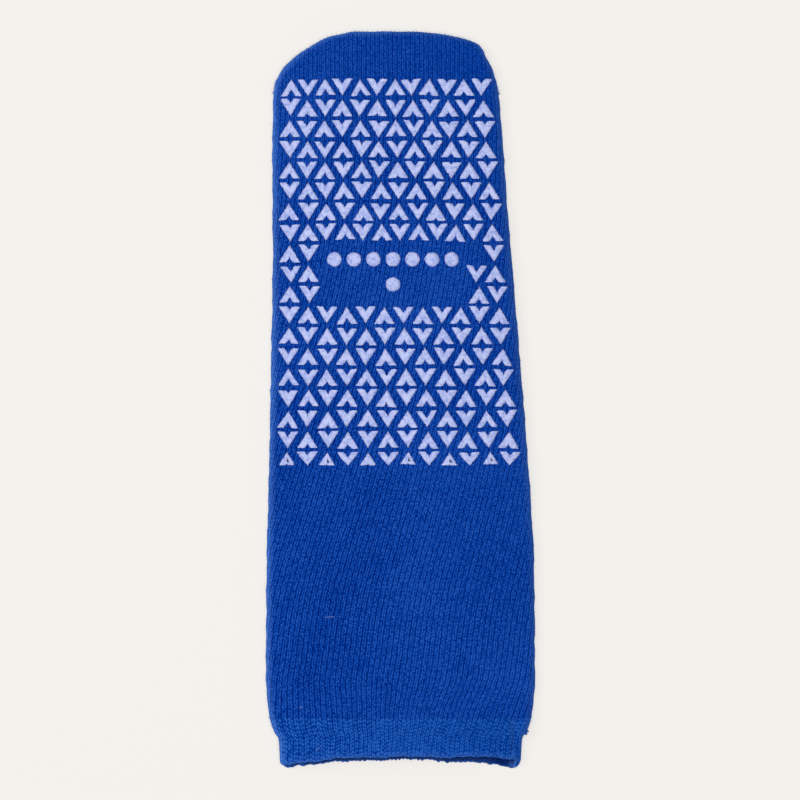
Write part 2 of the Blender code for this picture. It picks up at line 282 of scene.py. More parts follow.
def waleDrift(back):
    # turn of the tube's stitches round the section: the tangent of their lean summed from the toe line
    steps = np.linspace(sockForm["toeDepth"], sockLength, 300)
    slope = np.tan(np.radians(np.interp(steps, leanTable["back"], leanTable["lean"]))) / girthAt(steps)
    total = np.concatenate([[0.0], np.cumsum((slope[1:] + slope[:-1]) / 2 * np.diff(steps))])
    return -np.interp(back, steps, total)


def waleTurn(share, back):
    # place round the section of the wale at a share of the count: drifted, and near the cuff gathered
    # towards the middles of the two layers, 0.25 and 0.75
    turn = share + waleDrift(back)
    near = ease((back - gatherForm["start"]) / (gatherForm["end"] - gatherForm["start"]))
    return turn + near * gatherForm["reach"] / girthAt(back) * np.sin(4 * np.pi * turn)


def ribHeight(wale):
    # 1 on the middle of each wale, 0 in the groove beside it
    return (0.5 - 0.5 * np.cos(2 * np.pi * wale)) ** knitForm["ribPower"]


def buildMesh(
    name, points, faceGroups, uvGroups=(), materials=(), materialIndex=None, pointUv=None, paintedLight=None
):
    # arrays in, one smooth mesh out; uvGroups match faceGroups corner by corner, and pointUv and the painted
    # light and shade have a value for each point
    mesh = bpy.data.meshes.new(name)
    faces = [face for group in faceGroups for face in group.tolist()]
    mesh.from_pydata(points.reshape(-1, 3).tolist(), [], faces)
    if uvGroups:
        layer = mesh.uv_layers.new(name="knit")
        knitUv = np.concatenate([group.reshape(-1) for group in uvGroups])
        layer.data.foreach_set("uv", knitUv.astype(np.float32))
    if pointUv is not None:
        corners = np.zeros(len(mesh.loops), np.int32)
        mesh.loops.foreach_get("vertex_index", corners)
        layer = mesh.uv_layers.new(name="stroke")
        layer.data.foreach_set("uv", pointUv[corners].reshape(-1).astype(np.float32))
    if paintedLight is not None:
        layer = mesh.attributes.new("paintedLight", "FLOAT", "POINT")
        layer.data.foreach_set("value", paintedLight.astype(np.float32))
    for material in materials:
        mesh.materials.append(material)
    if materialIndex is not None:
        mesh.polygons.foreach_set("material_index", materialIndex.astype(np.int32))
    mesh.shade_smooth()
    mesh.update()
    piece = bpy.data.objects.new(name, mesh)
    bpy.context.scene.collection.objects.link(piece)
    return piece


def closed(index):
    # vertex numbers whose last axis runs round a ring, with its first again at the end
    return np.concatenate([index, index[..., :1]], axis=-1)


def gridFaces(index, flip=False):
    # the four numbers at the corners of each cell of a grid, or of many grids; unflipped, a face of vertex
    # numbers looks up where columns run to +X and rows to -Y
    corners = [index[..., :-1, :-1], index[..., 1:, :-1], index[..., 1:, 1:], index[..., :-1, 1:]]
    if flip:
        corners = corners[:1] + corners[:0:-1]
    return np.stack(corners, axis=-1).reshape(-1, 4)


def gridCorners(u, v):
    # both knit coordinates at the corners of each cell
    return np.stack([gridFaces(u), gridFaces(v)], axis=-1)


def pushAlongNormals(points, normals, amount):
    # each point moves along its normal by its own amount
    return points + normals * amount[:, None]


def vertexNormals(points, quads):
    # area-weighted normals of a quad mesh from the cross products of its diagonals
    a, b, c, d = (points[quads[:, i]] for i in range(4))
    faceNormal = np.cross(c - a, d - b)
    normals = np.zeros_like(points)
    for i in range(4):
        for axis in range(3):
            normals[:, axis] += np.bincount(quads[:, i], faceNormal[:, axis], len(points))
    return normals / np.maximum(np.linalg.norm(normals, axis=1), 1e-12)[:, None]


# painted light: a painted sheen on the side folds, and painted light that is stronger on the left
edgeLightForm = {
    "gain": 1.05,              # paleness for each part of steepness, after the first few
    "spared": 0.05,
    "most": 0.48,
    "inMiddle": 0.76,          # share of it that stays in the middle, its change with x, and its greatest
    "slope": -6.5,
    "mostAtLeft": 1.3,
}


def paintedEdgeLight(points, normals):
    # painted sheen where the knit turns over at the outline, with its steepness, and painted light more on
    # the left
    steep = edgeLightForm["gain"] * (1 - np.abs(normals[:, 2])) - edgeLightForm["spared"]
    share = edgeLightForm["inMiddle"] + edgeLightForm["slope"] * points[:, 0]
    return np.clip(steep, 0.0, edgeLightForm["most"]) * np.clip(share, 0.0, edgeLightForm["mostAtLeft"])


def pocketSkin(columns, tubeBacks, toeHalfRows, inset):
    # one skin of the pocket. The tube is rings of columns that follow the wales. The toe is lines, each at
    # one x, from the toe line over the outline and back below, so that its wales run straight off the edge.
    turns = np.arange(columns) / columns
    backs = tubeBacks[:, None]
    x, side = roundSection(waleTurn(turns[None, :], backs), backs, inset)
    z = skinHeight(x, backs, side, inset)
    ringPoints = np.stack([x, np.broadcast_to(tipY - backs, x.shape), z], axis=-1)
    ringIndex = np.arange(x.size).reshape(x.shape)

    half = columns // 2
    lineX = x[0, : half + 1]
    nearest = outlineBack(lineX) + inset
    reach = np.maximum(tubeBacks[0] - nearest, 0.0)
    towards = np.linspace(1.0, 0.0, toeHalfRows + 1)[:, None]
    lineBack = nearest + reach * towards**2
    lineBack = np.concatenate([lineBack, lineBack[-2::-1]])
    lineSide = np.where(np.arange(len(lineBack)) <= toeHalfRows, 1.0, -1.0)[:, None]
    allX = np.broadcast_to(lineX, lineBack.shape)
    lineZ = skinHeight(allX, lineBack, lineSide, inset)
    linePoints = np.stack([allX, tipY - lineBack, lineZ], axis=-1)
    rows = len(lineBack)
    lineIndex = np.zeros((rows, half + 1), int)
    lineIndex[1:-1, 1:-1] = x.size + np.arange((rows - 2) * (half - 1)).reshape(rows - 2, half - 1)
    lineIndex[0] = ringIndex[0, : half + 1]
    lineIndex[-1] = ringIndex[0, -np.arange(half + 1) % columns]
    lineIndex[:, 0], lineIndex[:, -1] = ringIndex[0, 0], ringIndex[0, half]
    points = np.concatenate([ringPoints.reshape(-1, 3), linePoints[1:-1, 1:-1].reshape(-1, 3)])

    # wale and course numbers at the corners
    wale = np.arange(columns + 1) * knitForm["wales"] / columns
    tubeCourse = (sockForm["toeDepth"] - tubeBacks) / knitForm["course"]
    tubeU, tubeV = np.broadcast_arrays(wale[None, :], tubeCourse[:, None])
    steps = np.linalg.norm(np.diff(linePoints, axis=0), axis=-1) / knitForm["course"]
    zero = np.zeros((1, half + 1))
    courseUp = np.concatenate([zero, np.cumsum(steps[:toeHalfRows], axis=0)])
    courseDown = np.concatenate([zero, np.cumsum(steps[toeHalfRows:][::-1], axis=0)])[::-1]
    upperU = np.broadcast_to(wale[: half + 1], courseUp.shape)
    lowerU = knitForm["wales"] - upperU

    quads = [gridFaces(closed(ringIndex))]
    corners = [gridCorners(tubeU, tubeV)]
    topIndex, lowIndex = lineIndex[: toeHalfRows + 1], lineIndex[toeHalfRows:]
    for index, u, v in ((topIndex, upperU, courseUp), (lowIndex, lowerU, courseDown)):
        quads.append(gridFaces(index)[:, ::-1])
        corners.append(gridCorners(u, v)[:, ::-1])
    quads, corners = np.concatenate(quads), np.concatenate(corners)
    waleOfPoint = np.concatenate([
        np.broadcast_to(wale[:-1], x.shape).reshape(-1),
        np.broadcast_to(wale[1:half], (rows - 2, half - 1)).reshape(-1),
    ])
    return points, quads, corners, waleOfPoint, ringIndex[-1]


def splitFlat(quads, corners):
    # quads with a repeated vertex, at the toe's two side poles, become triangles
    repeats = [quads[:, i] == quads[:, (i + 1) % 4] for i in range(4)]
    whole = ~np.any(repeats, axis=0)
    triangles, triangleCorners = [], []
    for i, repeated in enumerate(repeats):
        others = [k for k in range(4) if k != i]
        triangles.append(quads[repeated][:, others])
        triangleCorners.append(corners[repeated][:, others])
    triangles, triangleCorners = np.concatenate(triangles), np.concatenate(triangleCorners)
    real = (triangles[:, 0] != triangles[:, 1]) & (triangles[:, 1] != triangles[:, 2])
    real &= triangles[:, 2] != triangles[:, 0]
    return quads[whole], corners[whole], triangles[real], triangleCorners[real]


lumpForm = {
    "height": 0.00013,
    "along": [390, 811, 230],  # each wave's radians a metre along the sock and across it,
    "across": [0, 140, 520],
    "bend": [3, 0, 0],         # and how far the longer wave bends it, in radians
    "size": [1.0, 0.8, 0.5],
    "bendAlong": 57,
    "endFade": 0.012,          # none at the cuff line
    "floorSlope": 2,           # and none where the normal's Z, times this and plus the next, is under 0
    "floorShift": 0.9,
}


def lumpHeight(points):
    # small uneven swellings of soft cloth: a sum of sine waves, the first of them bent by a longer one
    x, y = points[:, 0], points[:, 1]
    waves = np.zeros(len(points))
    for along, across, bend, size in zip(*(lumpForm[key] for key in ("along", "across", "bend", "size"))):
        waves += size * np.sin(y * along + x * across + bend * np.sin(y * lumpForm["bendAlong"]))
    return lumpForm["height"] * waves * ease((y - (tipY - cuffLine)) / lumpForm["endFade"])


def makeTube(outerMaterial, innerMaterial):
    # the knitted whole: outer skin with its ribs, inner skin, and the cut end at the cuff line between them
    neckStart = cuffLine - knitForm["neckLength"]
    outerBacks = np.concatenate([
        np.linspace(sockForm["toeDepth"], neckStart, knitForm["tubeRows"], endpoint=False),
        np.linspace(neckStart, cuffLine - knitForm["endStrip"], knitForm["neckRows"]),
        [cuffLine],
    ])
    columns = knitForm["wales"] * knitForm["columnsPerWale"]
    points, quads, corners, wale, outerEnd = pocketSkin(columns, outerBacks, knitForm["toeHalfRows"], 0.0)
    normals = vertexNormals(points, quads)
    offFloor = ease(normals[:, 2] * lumpForm["floorSlope"] + lumpForm["floorShift"])
    relief = lumpHeight(points) * offFloor - knitForm["ribDepth"] * (1 - ribHeight(wale))
    points = pushAlongNormals(points, normals, relief)

    every = knitForm["liningEvery"]
    innerBacks = np.linspace(sockForm["toeDepth"] + sockForm["wall"], cuffLine, knitForm["liningRows"])
    lining = pocketSkin(columns // every, innerBacks, knitForm["liningToeRows"], sockForm["wall"])
    innerPoints, innerQuads, innerCorners, _, innerEnd = lining
    innerQuads, innerEnd = innerQuads[:, ::-1] + len(points), innerEnd + len(points)
    innerCorners = innerCorners[:, ::-1]

    # the end: for each inner edge one flat face with the outer edges beside it
    start = np.arange(len(innerEnd))
    outerRun = [outerEnd[(start * every + k) % columns] for k in range(every + 1)]
    end = np.stack(outerRun[::-1] + [innerEnd, np.roll(innerEnd, -1)], axis=1)[:, ::-1]
    endCorners = np.zeros(end.shape + (2,))

    quads, corners, triangles, triangleCorners = splitFlat(
        np.concatenate([quads, innerQuads]), np.concatenate([corners, innerCorners])
    )
    inner = np.concatenate([quads.min(axis=1) >= len(points), triangles.min(axis=1) >= len(points)])
    inner = np.concatenate([inner, np.zeros(len(end), bool)])
    # the outer skin carries the painted sheen of its side folds and the painted light on the left
    piece = buildMesh(
        "sock_knit", np.concatenate([points, innerPoints]), [quads, triangles, end],
        [corners, triangleCorners, endCorners], [outerMaterial, innerMaterial], inner,
        paintedLight=np.concatenate([paintedEdgeLight(points, normals), np.zeros(len(innerPoints))]),
    )
    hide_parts("sock_tube")
    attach(piece, "root")
    return points, normals


cuffForm = {
    "start": 0.00002,          # clearance to the tube
    "rollDepth": 0.0016,       # the turned rim
    "outerRows": 60,
    "rollRows": 9,
    "innerRows": 18,
    "shadedRollRows": 2,       # the rim's last rows, which have the lining's dark painted shade
    "hairyRollRows": 3,        # and its first, on which hairs may grow
    "foldX": 0.0494,           # the side fold seen at the right of the cuff
    "foldWidth": 0.0017,
    "foldDepth": 0.0012,
    "rimSag": 0.0008,          # the upper layer hangs a little further out in the middle
    "sagMiddle": 0.25,
    "sagWidth": 0.45,
    "rimWave": 0.00028,        # uneven rim: waves, each with its radians a metre, its start and its size
    "waves": [(210, 0.6, 1.0), (460, 2.0, 0.6), (1100, 0.0, 0.4)],
    "rimTeeth": 0.00034,       # and small teeth, one to a wale
    "unevenPower": 3,          # all of it dies out towards the cuff line
    "upperTeeth": 0.2,         # how much of them the upper layer has
    "seed": 5,
}
# painted light and shade on the inside of the mouth, and the painted highlight along its upper rim
lipForm = {
    "paintedLight": 0.30,              # painted light: the inside is lighter near the rim
    "depth": 0.0042,
    "endX": 0.0463,            # and a painted highlight from here to its right end
    "endFade": 0.0014,
    "endHighlight": 0.60,
    "shadeX": 0.0428,          # and painted shade beside that end
    "shadeWidth": 0.0040,
    "shade": 0.90,
    "paintedRimHighlight": 0.10,           # a painted highlight along the upper rim
    "rimBack": 0.0010,
    "rimWidth": 0.0012,
    "rimInset": 0.002,
}


def rimShift(across, layer, back):
    # how far the mouth is drawn towards the toe: an arch, and the upper layer (layer 1) set back, askew
    near = ease((back - cuffLine) / cuffDepth)
    arch = sockForm["rimArch"] * (1 - across**2)
    sag = cuffForm["rimSag"] * np.exp(-(((across - cuffForm["sagMiddle"]) / cuffForm["sagWidth"]) ** 2))
    return near * (arch + (sockForm["rimSetback"] + sockForm["rimSkew"] * across - sag) * layer)


def paintedLipLight(x, fromRim):
    # painted light and shade on the welt's inside: it fades with the distance from the rim
    atEnd = ease((x - lipForm["endX"]) / lipForm["endFade"])
    shade = lipForm["shade"] * np.exp(-(((x - lipForm["shadeX"]) / lipForm["shadeWidth"]) ** 2))
    paintedLight = lipForm["paintedLight"] * (1 - shade * (1 - atEnd)) + lipForm["endHighlight"] * atEnd
    return paintedLight * (1 - ease(fromRim / lipForm["depth"]))


def paintedRimHighlight(layer, backs, insets):
    # the painted highlight along the upper rim, a bell across it
    bell = np.exp(-(((backs - sockLength + lipForm["rimBack"]) / lipForm["rimWidth"]) ** 2))
    return lipForm["paintedRimHighlight"] * layer * bell * (insets < lipForm["rimInset"])


def makeCuff(material, innerMaterial):
    # a turned welt: outer face, half round rim and inner face in one loop of rings, closed on itself
    columns = knitForm["wales"] * knitForm["columnsPerWale"]
    roll = cuffForm["rollDepth"]
    start, rimBack = cuffLine + cuffForm["start"], sockLength - roll
    turnOver = np.linspace(0.0, np.pi, cuffForm["rollRows"])[1:-1]
    backs = np.concatenate([
        [start],
        np.linspace(start + knitForm["endStrip"], rimBack, cuffForm["outerRows"] - 1),
        rimBack + roll * np.sin(turnOver),
        np.linspace(rimBack, start, cuffForm["innerRows"]),
    ])
    insets = np.concatenate([
        np.zeros(cuffForm["outerRows"]), sockForm["cuffWall"] * (1 - np.cos(turnOver)) / 2,
        np.full(cuffForm["innerRows"], sockForm["cuffWall"]),
    ])
    turns = np.arange(columns) / columns
    backs, insets = backs[:, None], insets[:, None]
    x, side = roundSection(waleTurn(turns[None, :], backs), backs, insets)
    z = skinHeight(x, backs, side, insets)
    middle, half = outlineAt(backs)
    flat = half - sockForm["edgeRadius"]
    across = np.clip((x - middle) / flat, -1.0, 1.0)
    level = z - floorLift(backs) - sockForm["edgeRadius"]
    layer = np.clip(0.5 + 0.5 * level / (sockForm["edgeRadius"] - insets), 0.0, 1.0)
    near = ease((backs - cuffLine) / cuffDepth)
    wave = sum(size * np.sin(x * rate + phase) for rate, phase, size in cuffForm["waves"])
    toothSize = np.random.default_rng(cuffForm["seed"]).uniform(0.0, 2.0, knitForm["wales"])
    waleNumber = (turns * knitForm["wales"]).astype(int)
    tooth = np.abs(np.sin(np.pi * turns * knitForm["wales"])) * toothSize[waleNumber]
    toothShare = 1 - (1 - cuffForm["upperTeeth"]) * layer
    uneven = cuffForm["rimWave"] * wave - cuffForm["rimTeeth"] * tooth * toothShare
    y = tipY - backs + rimShift(across, layer, backs) + uneven * near ** cuffForm["unevenPower"]
    fold = np.exp(-(((x - cuffForm["foldX"]) / cuffForm["foldWidth"]) ** 2))
    z = z - np.where((side > 0) & (insets < sockForm["cuffWall"] / 2), cuffForm["foldDepth"] * fold, 0.0)
    points = np.stack([x, y, z], axis=-1).reshape(-1, 3)

    index = np.arange(x.size).reshape(x.shape)
    quads = gridFaces(closed(np.concatenate([index, index[:1]])))
    wale = np.arange(columns + 1) * knitForm["wales"] / columns
    travel = np.concatenate([[0.0], np.cumsum(np.hypot(np.diff(backs[:, 0]), np.diff(insets[:, 0])))])
    travel = np.append(travel, travel[-1] + sockForm["cuffWall"]) / knitForm["cuffCourse"]
    u, v = np.broadcast_arrays(wale[None, :], -travel[:, None])
    corners = gridCorners(u, v)
    normals = vertexNormals(points, quads)
    normals[:columns] = normals[columns:2 * columns]
    rowNumber = np.arange(len(backs))
    innerStart = cuffForm["outerRows"] + len(turnOver)
    rows = (1 - knitForm["rowDip"] * (1 - np.cos(2 * np.pi * travel[:-1])))[:, None]
    outerPart = (rowNumber < innerStart)[:, None]
    relief = knitForm["ribDepth"] * (1 - ribHeight(wale[:-1])[None, :] * rows) * outerPart
    points = pushAlongNormals(points, normals, -relief.reshape(-1))
    # the rim's last rows and the inner face take the lining, dark as painted shade
    inside = np.repeat(rowNumber >= innerStart - cuffForm["shadedRollRows"], columns)
    lip = paintedLipLight(x, np.where(insets < sockForm["cuffWall"], 0.0, sockLength - backs))
    # painted light: sheen on the side folds and the rim's highlight outside, the lip's painted light and
    # shade inside
    outerLight = paintedEdgeLight(points, normals) + paintedRimHighlight(layer, backs, insets).reshape(-1)
    paintedLight = np.where(inside, lip.reshape(-1), outerLight)
    materials = [material, innerMaterial]
    piece = buildMesh("cuff_knit", points, [quads], [corners], materials, inside, paintedLight=paintedLight)
    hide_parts("cuff_welt")
    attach(piece, "root")
    shown = np.repeat(rowNumber < cuffForm["outerRows"] + cuffForm["hairyRollRows"], columns)
    return points[shown], normals[shown]


printForm = {
    "markWidth": 0.0096,       # an arrowhead: the box round it
    "markLength": 0.0076,
    "stroke": 0.0029,
    "pitchAlong": 0.0089,
    "pitchAcross": 0.0072,
    "start": 0.0205,
    "margin": 0.0036,
    "windowWidth": 0.0620,     # a plain window with a row of dots
    "windowStart": 0.0905,
    "windowEnd": 0.1180,
    "windowOffset": -0.0032,
    "dotCount": 7,
    "dotRadius": 0.0032,
    "dotPitch": 0.0084,
    "dotRow": 0.0982,
    "singleDotRow": 0.1090,
    "dotSides": 12,
    "footRound": 0.0009,
    "root": 0.0006,            # how deep a mark reaches into the knit
    "height": 0.00072,
    "heightLimit": 0.985,      # as a share of the print's height in the CAD
    "wander": 0.00016,         # unevenness of the print: its place,
    "turnSpread": 1.6,         # its turn in degrees,
    "strokeSpread": 0.07,      # its stroke, its height and a dot's radius as shares,
    "heightSpread": 0.10,
    "dotSpread": 0.03,
    "footSpread": 0.00015,     # and where its feet end
    "seed": 7,
}


def markPlaces():
    # rows of marks across the printed field, pointing to toe and cuff by turns, with none in the window
    p = printForm
    rows = math.ceil((sockForm["printEnd"] - p["start"]) / p["pitchAlong"])
    rowStarts = p["start"] + np.arange(rows) * p["pitchAlong"]
    narrowest = 2 * np.min(outlineAt(rowStarts)[1] - p["margin"])
    columns = int(narrowest / p["pitchAcross"])
    back = np.repeat(rowStarts + p["markLength"] / 2, columns)
    middle, half = outlineAt(back)
    column = np.tile(np.arange(columns), rows)
    row = np.repeat(np.arange(rows), columns)
    span = 2 * (half - p["margin"])
    x = middle - span / 2 + span * (column + 0.5) / columns
    way = np.where((row + column) % 2 == 0, 1.0, -1.0)
    across = np.abs(x - p["windowOffset"]) < (p["windowWidth"] + p["markWidth"]) / 2
    halfMark = p["markLength"] / 2
    within = (back > p["windowStart"] - halfMark) & (back < p["windowEnd"] + halfMark)
    kept = ~(across & within)
    return x[kept], back[kept], way[kept]


def dotPlaces():
    # one row of dots, and a single dot behind its middle
    p = printForm
    x = p["windowOffset"] + (np.arange(p["dotCount"]) - (p["dotCount"] - 1) / 2) * p["dotPitch"]
    back = np.full(p["dotCount"], p["dotRow"])
    return np.append(x, p["windowOffset"]), np.append(back, p["singleDotRow"])


def makePrint(name, side, material):
    # an arrowhead is one domed profile carried from foot to foot over its apex, cut straight at the feet
    p = printForm
    rng = np.random.default_rng(p["seed"] + int(side))
    x, back, way = markPlaces()
    count = len(x)
    halfWidth = p["markWidth"] / 2
    armLength = math.hypot(halfWidth, p["markLength"])
    sine, cosine = halfWidth / armLength, p["markLength"] / armLength
    stroke = p["stroke"] * (1 + p["strokeSpread"] * rng.standard_normal((count, 1)))
    apexLevel = p["markLength"] / 2 - stroke / 2 / sine
    overrun = np.maximum(back + p["markLength"] / 2 - sockForm["printEnd"], 0.0)[:, None]
    footLevel = -p["markLength"] / 2 + np.where(way[:, None] > 0, overrun, 0.0)
    footLevel = footLevel + p["footSpread"] * np.abs(rng.standard_normal((count, 1)))

    # stations from the left foot to the right: share of the arm from the apex, how far short of the foot,
    # the share of the stroke's width left there, and the side of the apex
    arm = np.array([1.0, 1.0, 1.0, 0.5, 0.0, 0.5, 1.0, 1.0, 1.0])
    short = np.array([0.0, 0.16, 0.5, 0.0, 0.0, 0.0, 0.5, 0.16, 0.0]) * p["footRound"]
    left = np.array([0.76, 0.94, 1.0, 1.0, 1.0, 1.0, 1.0, 0.94, 0.76])
    hand = np.array([-1.0, -1.0, -1.0, -1.0, 0.0, 1.0, 1.0, 1.0, 1.0])
    run = (apexLevel - footLevel) * arm - short
    centreUp = apexLevel - run
    centreOut = hand * run * sine / cosine
    atApex = hand == 0
    offsetOut = np.where(atApex, 0.0, hand / cosine) * stroke / 2 * left
    offsetUp = np.where(atApex, 1 / sine, 0.0) * stroke / 2 * left

    # the profile, from the outer foot of the dome over its top to the inner foot and down into the knit:
    # its share of half the stroke, of the print's height, and of the root's depth
    reach = np.array([1.0, 0.55, -0.55, -1.0, -0.9, 0.9])
    dome = np.array([0.30, 1.0, 1.0, 0.30, 0.0, 0.0])
    rooted = np.array([0.0, 0.0, 0.0, 0.0, 1.0, 1.0])
    out = centreOut[..., None] + offsetOut[..., None] * reach
    up = centreUp[..., None] + offsetUp[..., None] * reach
    lean = rng.normal(0.0, math.radians(p["turnSpread"]), (count, 1, 1))
    out, up = out * np.cos(lean) - up * np.sin(lean), out * np.sin(lean) + up * np.cos(lean)
    # the lower face carries the mirror image
    placeX = x if side > 0 else 2 * outlineAt(back)[0] - x
    placeX = placeX + rng.normal(0.0, p["wander"], count)
    placeBack = back + rng.normal(0.0, p["wander"], count)
    markX = placeX[:, None, None] + out
    markBack = placeBack[:, None, None] - way[:, None, None] * up
    markBack = np.minimum(markBack, sockForm["printEnd"])
    uneven = 1 + p["heightSpread"] * rng.standard_normal((count, 1, 1))
    level = p["height"] * dome * uneven - p["root"] * rooted
    level = np.minimum(level, sockForm["printHeight"] * p["heightLimit"])
    markZ = skinHeight(markX, markBack, side) + side * level
    points = np.stack([markX, tipY - markBack, markZ], axis=-1)
    # the stroke's own coordinates: share of half its width, and millimetres from its foot
    fromFoot = (apexLevel - footLevel) * (1 - arm) + short
    strokeUv = np.stack(np.broadcast_arrays(reach, fromFoot[..., None] * 1000), axis=-1).reshape(-1, 2)

    index = np.arange(points[..., 0].size).reshape(count, len(arm), len(reach))
    quads = gridFaces(closed(index))
    capFaces = np.concatenate([index[:, 0], index[:, -1, ::-1]])
    points = points.reshape(-1, 3)

    # dots: rings of a dome from the root to near its top, each with its share of the radius and its level
    dotX, dotBack = dotPlaces()
    turn = np.linspace(0, 2 * np.pi, p["dotSides"], endpoint=False)
    ringReach = np.array([0.97, 1.0, 0.72, 0.25])[:, None]
    ringLevel = np.array([-p["root"], p["height"] * 0.4, p["height"] * 0.96, p["height"] * 1.05])
    wobble = 1 + p["dotSpread"] * rng.standard_normal((len(dotX), 1, len(turn)))
    placeX = dotX if side > 0 else 2 * outlineAt(dotBack)[0] - dotX
    domeX = placeX[:, None, None] + p["dotRadius"] * ringReach * np.cos(turn) * wobble
    domeBack = dotBack[:, None, None] + p["dotRadius"] * ringReach * np.sin(turn) * wobble
    domeZ = skinHeight(domeX, domeBack, side) + side * ringLevel[:, None]
    domePoints = np.stack([domeX, tipY - domeBack, domeZ], axis=-1)
    domeIndex = len(points) + np.arange(domePoints[..., 0].size).reshape(domePoints.shape[:-1])
    domeQuads = gridFaces(closed(domeIndex), flip=True)
    domeTops, domeFeet = domeIndex[:, -1], domeIndex[:, 0][:, ::-1]
    # a dot counts as covered nearly to its edge, and as far from any foot
    fromFoot = np.full(domePoints.shape[:-1], 5.0)
    domeUv = np.stack(np.broadcast_arrays(ringReach * 0.85, fromFoot), axis=-1)
    domePoints = domePoints.reshape(-1, 3)

    piece = buildMesh(
        name, np.concatenate([points, domePoints]), [quads, domeQuads, capFaces, domeTops, domeFeet],
        materials=[material], pointUv=np.concatenate([strokeUv, domeUv.reshape(-1, 2)]),
    )
    outwards(piece)
    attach(piece, "root")


def outwards(piece):
    # turns each closed shell's faces outwards
    shell = bmesh.new()
    shell.from_mesh(piece.data)
    bmesh.ops.recalc_face_normals(shell, faces=shell.faces)
    shell.to_mesh(piece.data)
    shell.free()


seamForm = {
    "radius": 0.00042,
    "sink": 0.75,              # how far its middle hangs below the skin, as a share of the radius
    "inset": 0.0042,           # how far inside the outline the linking runs
    "endInset": 0.0012,
    "endShare": 0.3,           # the last part of each half, where it comes out to that
    "reach": 0.0175,           # how far back its ends come
    "bunching": 2.4,
    "points": 260,
    "sides": 10,
    "strands": 2,
    "lobeDepth": 0.30,
    "twistLength": 0.0026,
    "taper": 0.002,            # its ends grow thin over this length, down to this share
    "endSize": 0.15,
}


def seamPath(count):
    # the outline of the toe, moved inwards square to itself, on the lower layer
    turn = np.linspace(-1.0, 1.0, count)
    back = seamForm["reach"] * np.abs(turn) ** seamForm["bunching"]
    middle, half = outlineAt(back)
    edge = np.stack([middle + np.sign(turn) * half, tipY - back], axis=-1)
    along = np.gradient(edge, axis=0)
    along /= np.linalg.norm(along, axis=1)[:, None]
    inward = np.stack([along[:, 1], -along[:, 0]], axis=-1)
    towardsEnd = ease((np.abs(turn) - (1 - seamForm["endShare"])) / seamForm["endShare"])
    inset = seamForm["inset"] + (seamForm["endInset"] - seamForm["inset"]) * towardsEnd
    return edge + inward * inset[:, None], along


def makeSeam(material):
    # a two-strand linking cord: a section with two lobes, turned steadily along the path
    place, along = seamPath(seamForm["points"])
    back = tipY - place[:, 1]
    z = skinHeight(place[:, 0], back, -1.0) - seamForm["radius"] * seamForm["sink"]
    run = np.concatenate([[0.0], np.cumsum(np.linalg.norm(np.diff(place, axis=0), axis=1))])
    turn = np.linspace(0, 2 * np.pi, seamForm["sides"], endpoint=False)
    twist = 2 * np.pi * run / seamForm["twistLength"] / seamForm["strands"]
    dent = np.abs(np.sin(turn[None, :] * seamForm["strands"] / 2 + twist[:, None]))
    taper = np.clip(np.minimum(run, run[-1] - run) / seamForm["taper"], seamForm["endSize"], 1.0)
    radius = seamForm["radius"] * (1 - seamForm["lobeDepth"] * dent) * taper[:, None]
    sideways = np.stack([-along[:, 1], along[:, 0], np.zeros(len(run))], axis=-1)
    centre = np.stack([place[:, 0], place[:, 1], z], axis=-1)
    upward = np.array([0.0, 0.0, 1.0])
    ring = np.cos(turn)[None, :, None] * sideways[:, None, :] + np.sin(turn)[None, :, None] * upward
    points = centre[:, None, :] + radius[..., None] * ring
    index = np.arange(points[..., 0].size).reshape(points.shape[:2])
    faces = [gridFaces(closed(index)), index[:1], index[-1:]]
    piece = buildMesh("toe_linking", points, faces, materials=[material])
    outwards(piece)
    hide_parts("toe_seam")
    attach(piece, "root")


fuzzForm = {
    "tubeHairs": 5200,
    "cuffHairs": 1500,
    "onTop": 0.03,             # share of hairs away from the side folds, beside those on them
    "foldLevel": 0.6,          # a side fold is where the normal's Z is less than this
    "underLevel": -0.7,        # and none grow where it is less than this, against the floor
    "spread": 0.7,
    "length": 0.00075,
    "lengthSpread": (0.4, 1.5),
    "radius": 0.000022,
    "bend": 0.54,
    "root": 0.0001,
    "seed": 3,
}


def hairMesh(name, base, direction, bend, length, radius, material):
    # thin curved cones of three sides, closed at both ends; the middle line is base + length times
    # (direction t + bend t squared)
    t = np.array([0.0, 0.45, 1.0])[None, :, None]
    taper = np.array([1.0, 0.85, 0.25])[None, :, None, None]
    line = base[:, None] + length[:, None, None] * (direction[:, None] * t + bend[:, None] * t**2)
    sideways = np.cross(direction, [0.3, 0.5, 0.81])       # any fixed way that no hair points
    sideways /= np.linalg.norm(sideways, axis=1)[:, None]
    upward = np.cross(direction, sideways)
    turn = np.linspace(0, 2 * np.pi, 3, endpoint=False)[None, None, :, None]
    ring = np.cos(turn) * sideways[:, None, None] + np.sin(turn) * upward[:, None, None]
    points = line[:, :, None] + radius[:, None, None, None] * taper * ring
    index = np.arange(points[..., 0].size).reshape(points.shape[:3])
    caps = np.concatenate([index[:, 0, ::-1], index[:, -1]])
    piece = buildMesh(name, points, [gridFaces(closed(index), flip=True), caps], materials=[material])
    outwards(piece)
    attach(piece, "root")
    return piece


